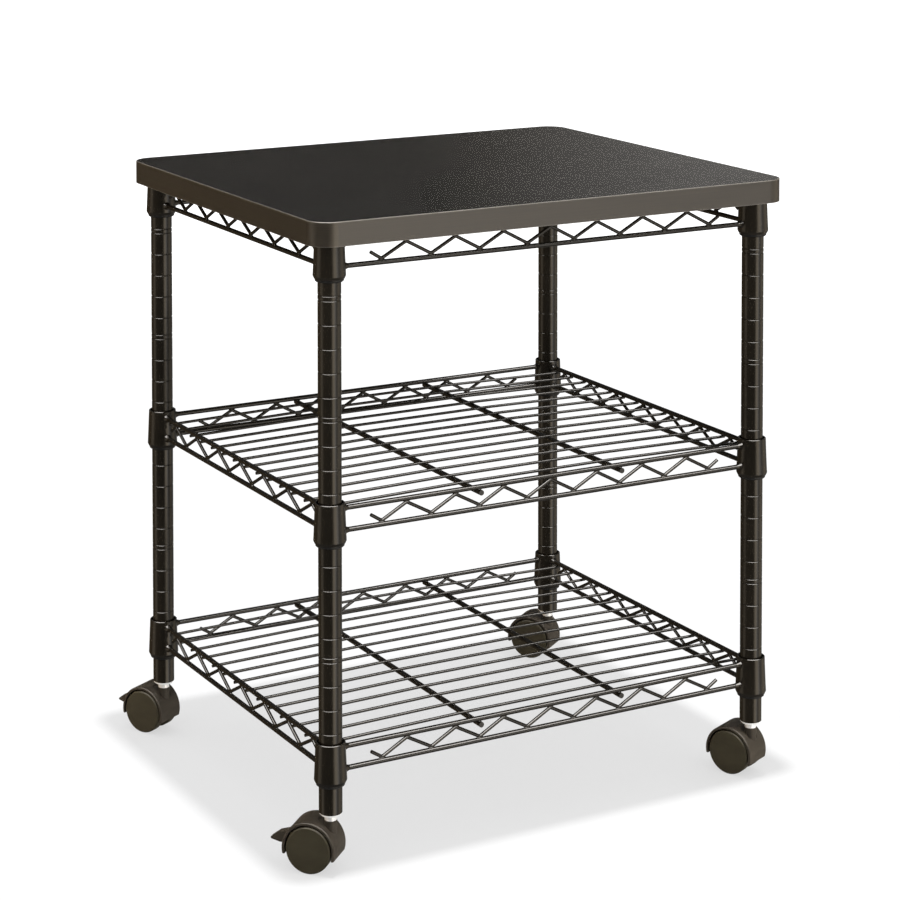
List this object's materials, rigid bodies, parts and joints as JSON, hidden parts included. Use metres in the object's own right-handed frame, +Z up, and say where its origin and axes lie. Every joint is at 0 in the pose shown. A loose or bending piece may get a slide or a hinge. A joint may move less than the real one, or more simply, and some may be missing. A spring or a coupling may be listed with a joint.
{
  "type": "printer stand",
  "caption": "Mobile printer stand: a dark laminated board on a wire shelf unit with grooved posts, tapered collars and swivel casters, with open bays for paper below.",
  "frame": {"origin": "centre of the board's top face, where the printer stands; the floor is 691.5 mm below", "axes": "+X to the right along the wide front, +Y to the back, +Z up"},
  "size_m": [0.6193, 0.5313, 0.6915],
  "materials": {
    "board_laminate": "near-black melamine laminate on fibreboard, satin",
    "edge_band": "brown-black edge strip with faint long grain",
    "powder_coat": "dark brown-black powder coat, semi-gloss",
    "black_nylon": "moulded black nylon",
    "white_nylon": "moulded white nylon",
    "zinc_steel": "bright zinc plate",
    "caster_nylon": "moulded dark brown-black nylon, fine matte grain",
    "wheel_nylon": "moulded dark brown-black nylon, smooth matte disc"
  },
  "bodies": {
    "frame": {"top_board": "board_laminate", "board_edge_band": "edge_band", "post_front_left": "powder_coat", "post_front_right": "powder_coat", "post_back_left": "powder_coat", "post_back_right": "powder_coat", "post_top_caps": "black_nylon", "caster_sockets": "white_nylon", "caster_stems": "zinc_steel", "stem_grip_rings": "zinc_steel", "top_shelf_collars": "powder_coat", "top_shelf_rails": "powder_coat", "top_shelf_long_trusses": "powder_coat", "top_shelf_side_trusses": "powder_coat", "top_shelf_clips": "black_nylon", "middle_shelf_clips": "black_nylon", "lower_shelf_clips": "black_nylon"},
    "middle_shelf": {"middle_shelf_collars": "powder_coat", "middle_shelf_rails": "powder_coat", "middle_shelf_long_trusses": "powder_coat", "middle_shelf_side_trusses": "powder_coat", "middle_shelf_deck_wires": "powder_coat", "middle_shelf_cross_wires": "powder_coat"},
    "lower_shelf": {"lower_shelf_collars": "powder_coat", "lower_shelf_rails": "powder_coat", "lower_shelf_long_trusses": "powder_coat", "lower_shelf_side_trusses": "powder_coat", "lower_shelf_deck_wires": "powder_coat", "lower_shelf_cross_wires": "powder_coat"},
    "front_left_caster": {"front_left_caster_hood": "caster_nylon", "front_left_caster_axle": "zinc_steel", "front_left_brake_pin": "zinc_steel"},
    "front_left_near_wheel": {"front_left_near_wheel": "wheel_nylon"},
    "front_left_far_wheel": {"front_left_far_wheel": "wheel_nylon"},
    "front_left_brake": {"front_left_brake_lever": "caster_nylon"},
    "front_right_caster": {"front_right_caster_hood": "caster_nylon", "front_right_caster_axle": "zinc_steel"},
    "front_right_near_wheel": {"front_right_near_wheel": "wheel_nylon"},
    "front_right_far_wheel": {"front_right_far_wheel": "wheel_nylon"},
    "back_left_caster": {"back_left_caster_hood": "caster_nylon", "back_left_caster_axle": "zinc_steel", "back_left_brake_pin": "zinc_steel"},
    "back_left_near_wheel": {"back_left_near_wheel": "wheel_nylon"},
    "back_left_far_wheel": {"back_left_far_wheel": "wheel_nylon"},
    "back_left_brake": {"back_left_brake_lever": "caster_nylon"},
    "back_right_caster": {"back_right_caster_hood": "caster_nylon", "back_right_caster_axle": "zinc_steel"},
    "back_right_near_wheel": {"back_right_near_wheel": "wheel_nylon"},
    "back_right_far_wheel": {"back_right_far_wheel": "wheel_nylon"}
  },
  "joints": [
    {"name": "middle_shelf_lift", "type": "slide", "parent": "frame", "child": "middle_shelf", "axis": [0, 0, 1], "range_m": [0, 0.22]},
    {"name": "lower_shelf_lift", "type": "slide", "parent": "frame", "child": "lower_shelf", "axis": [0, 0, 1], "range_m": [0, 0.2]},
    {"name": "front_left_swivel", "type": "hinge", "parent": "frame", "child": "front_left_caster", "pos_m": [-0.2714, -0.2214, -0.6415], "axis": [0, 0, 1], "continuous": true},
    {"name": "front_left_near_spin", "type": "hinge", "parent": "front_left_caster", "child": "front_left_near_wheel", "pos_m": [-0.28443, -0.20743, -0.6665], "axis": [-0.7314, -0.682, 0], "continuous": true},
    {"name": "front_left_far_spin", "type": "hinge", "parent": "front_left_caster", "child": "front_left_far_wheel", "pos_m": [-0.28443, -0.20743, -0.6665], "axis": [-0.7314, -0.682, 0], "continuous": true},
    {"name": "front_left_brake_press", "type": "hinge", "parent": "front_left_caster", "child": "front_left_brake", "pos_m": [-0.29732, -0.19361, -0.6575], "axis": [-0.7314, -0.682, 0], "range_deg": [0, 15]},
    {"name": "front_right_swivel", "type": "hinge", "parent": "frame", "child": "front_right_caster", "pos_m": [0.2714, -0.2214, -0.6415], "axis": [0, 0, 1], "continuous": true},
    {"name": "front_right_near_spin", "type": "hinge", "parent": "front_right_caster", "child": "front_right_near_wheel", "pos_m": [0.26363, -0.20395, -0.6665], "axis": [-0.9135, -0.4067, 0], "continuous": true},
    {"name": "front_right_far_spin", "type": "hinge", "parent": "front_right_caster", "child": "front_right_far_wheel", "pos_m": [0.26363, -0.20395, -0.6665], "axis": [-0.9135, -0.4067, 0], "continuous": true},
    {"name": "back_left_swivel", "type": "hinge", "parent": "frame", "child": "back_left_caster", "pos_m": [-0.2714, 0.2214, -0.6415], "axis": [0, 0, 1], "continuous": true},
    {"name": "back_left_near_spin", "type": "hinge", "parent": "back_left_caster", "child": "back_left_near_wheel", "pos_m": [-0.28066, 0.23811, -0.6665], "axis": [-0.8746, -0.4848, 0], "continuous": true},
    {"name": "back_left_far_spin", "type": "hinge", "parent": "back_left_caster", "child": "back_left_far_wheel", "pos_m": [-0.28066, 0.23811, -0.6665], "axis": [-0.8746, -0.4848, 0], "continuous": true},
    {"name": "back_left_brake_press", "type": "hinge", "parent": "back_left_caster", "child": "back_left_brake", "pos_m": [-0.28982, 0.25464, -0.6575], "axis": [-0.8746, -0.4848, 0], "range_deg": [0, 15]},
    {"name": "back_right_swivel", "type": "hinge", "parent": "frame", "child": "back_right_caster", "pos_m": [0.2714, 0.2214, -0.6415], "axis": [0, 0, 1], "continuous": true},
    {"name": "back_right_near_spin", "type": "hinge", "parent": "back_right_caster", "child": "back_right_near_wheel", "pos_m": [0.26017, 0.23685, -0.6665], "axis": [-0.809, -0.5878, 0], "continuous": true},
    {"name": "back_right_far_spin", "type": "hinge", "parent": "back_right_caster", "child": "back_right_far_wheel", "pos_m": [0.26017, 0.23685, -0.6665], "axis": [-0.809, -0.5878, 0], "continuous": true}
  ]
}
